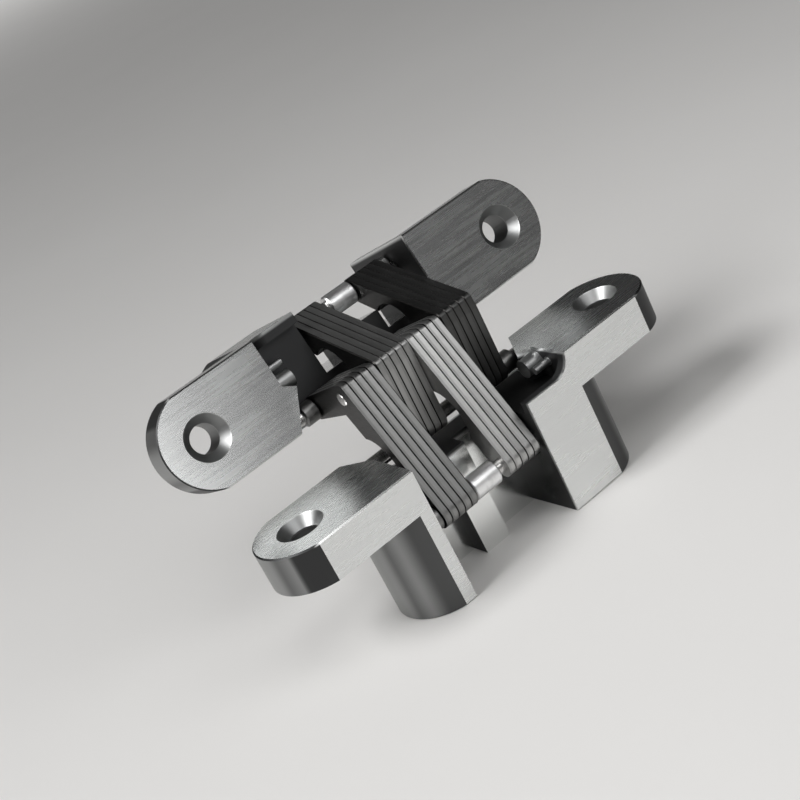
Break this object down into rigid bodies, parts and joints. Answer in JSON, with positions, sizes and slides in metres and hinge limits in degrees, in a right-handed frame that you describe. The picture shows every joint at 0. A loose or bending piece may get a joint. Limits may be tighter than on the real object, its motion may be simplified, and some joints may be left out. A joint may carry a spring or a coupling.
{
  "type": "concealed cross hinge",
  "caption": "Concealed door hinge: two rounded leaves with deep cups, joined by crossed stacks of bent link plates on pins, shown open a little past a right angle.",
  "frame": {"origin": "midway between the lower leaf's two screw holes, on the plane of the seat under its flange", "axes": "+X along the hinge, +Z out of the lower leaf's face, +Y towards the other leaf, so that the side with the cut-away cup wall looks to -Y"},
  "size_m": [0.12, 0.0775, 0.0684],
  "materials": {
    "leaf_casting": "satin, brushed along the leaf",
    "link_plate": "blanked edges, satin",
    "pin": "ground, bright",
    "sleeve": "turned, bright"
  },
  "bodies": {
    "leaf_b": {"leaf_b_body": "leaf_casting", "leaf_b_fixed_pin": "pin", "leaf_b_pin_spacer": "sleeve"},
    "second_link": {"second_link_plate_01": "link_plate", "second_link_plate_02": "link_plate", "second_link_plate_03": "link_plate", "second_link_plate_04": "link_plate", "second_link_plate_05": "link_plate", "second_link_plate_06": "link_plate", "second_link_plate_07": "link_plate", "second_link_plate_08": "link_plate", "second_link_plate_09": "link_plate", "second_link_plate_10": "link_plate", "centre_pin": "pin", "second_link_slide_pin": "pin", "second_link_slide_sleeve": "sleeve", "second_link_end_spacer": "sleeve"},
    "first_link": {"first_link_plate_01": "link_plate", "first_link_plate_02": "link_plate", "first_link_plate_03": "link_plate", "first_link_plate_04": "link_plate", "first_link_plate_05": "link_plate", "first_link_plate_06": "link_plate", "first_link_plate_07": "link_plate", "first_link_plate_08": "link_plate", "first_link_plate_09": "link_plate", "first_link_plate_10": "link_plate", "first_link_slide_pin": "pin", "first_link_slide_sleeve": "sleeve", "first_link_end_spacer": "sleeve"},
    "leaf_a": {"leaf_a_body": "leaf_casting", "leaf_a_fixed_pin": "pin", "leaf_a_pin_spacer": "sleeve"}
  },
  "joints": [
    {"name": "leaf_b_pivot", "type": "hinge", "parent": "leaf_b", "child": "second_link", "pos_m": [0, 0.0098, 0.0066], "axis": [-1, 0, 0], "range_deg": [-71.02, 49.58]},
    {"name": "centre_pivot", "type": "hinge", "parent": "second_link", "child": "first_link", "pos_m": [0, 0.01011, 0.0245], "axis": [1, 0, 0], "range_deg": [-36.06, 25.18]},
    {"name": "leaf_a_pivot", "type": "hinge", "parent": "first_link", "child": "leaf_a", "pos_m": [0, 0.0274, 0.01986], "axis": [-1, 0, 0], "range_deg": [-71.04, 49.6]}
  ],
  "couplings": [
    {"joint": "centre_pivot", "follows": "leaf_b_pivot", "ratio": 0.50746},
    {"joint": "leaf_a_pivot", "follows": "leaf_b_pivot", "ratio": 1}
  ]
}
